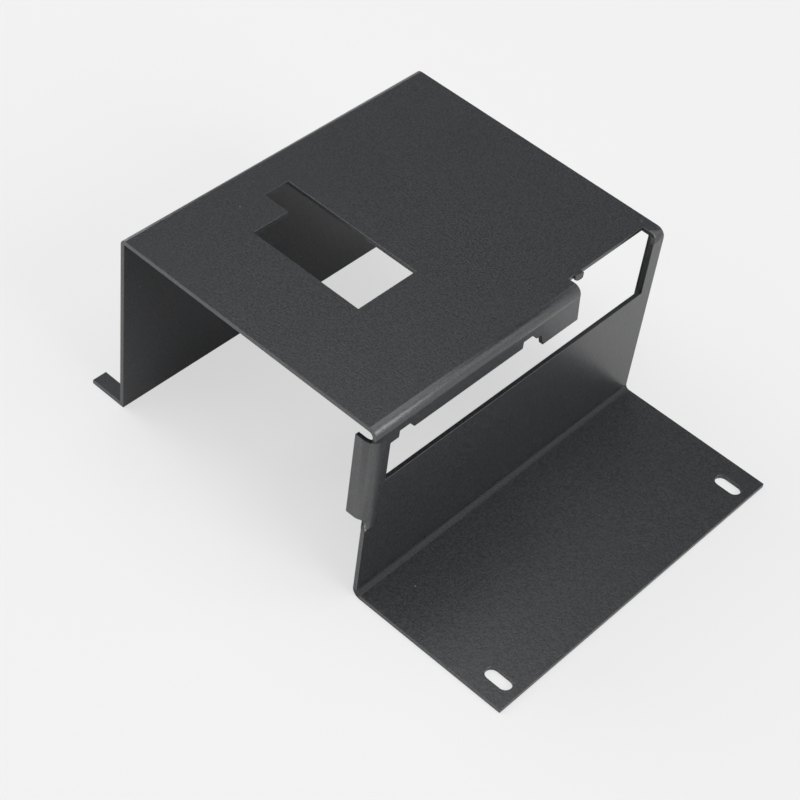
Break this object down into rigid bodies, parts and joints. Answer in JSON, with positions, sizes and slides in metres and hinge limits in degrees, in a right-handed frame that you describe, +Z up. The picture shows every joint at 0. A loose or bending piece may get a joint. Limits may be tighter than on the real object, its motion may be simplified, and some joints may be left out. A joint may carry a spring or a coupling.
{
  "type": "sheet metal chassis",
  "caption": "Folded sheet metal chassis: bridge-shaped body with a cut-out in its top plate, a windowed side wall with stiffening lips and a wide slotted foot.",
  "frame": {"origin": "on the floor, under the middle of the outline", "axes": "+Z up, +X towards the wide foot, across the body; +Y from the front edge to the rear edge"},
  "size_m": [0.167, 0.1232, 0.0677],
  "materials": {
    "powder_coated_steel": "dark grey powder coat, satin with a fine grain, all over the steel and its cut edges"
  },
  "bodies": {
    "root": {"folded_chassis": "powder_coated_steel"}
  },
  "joints": []
}
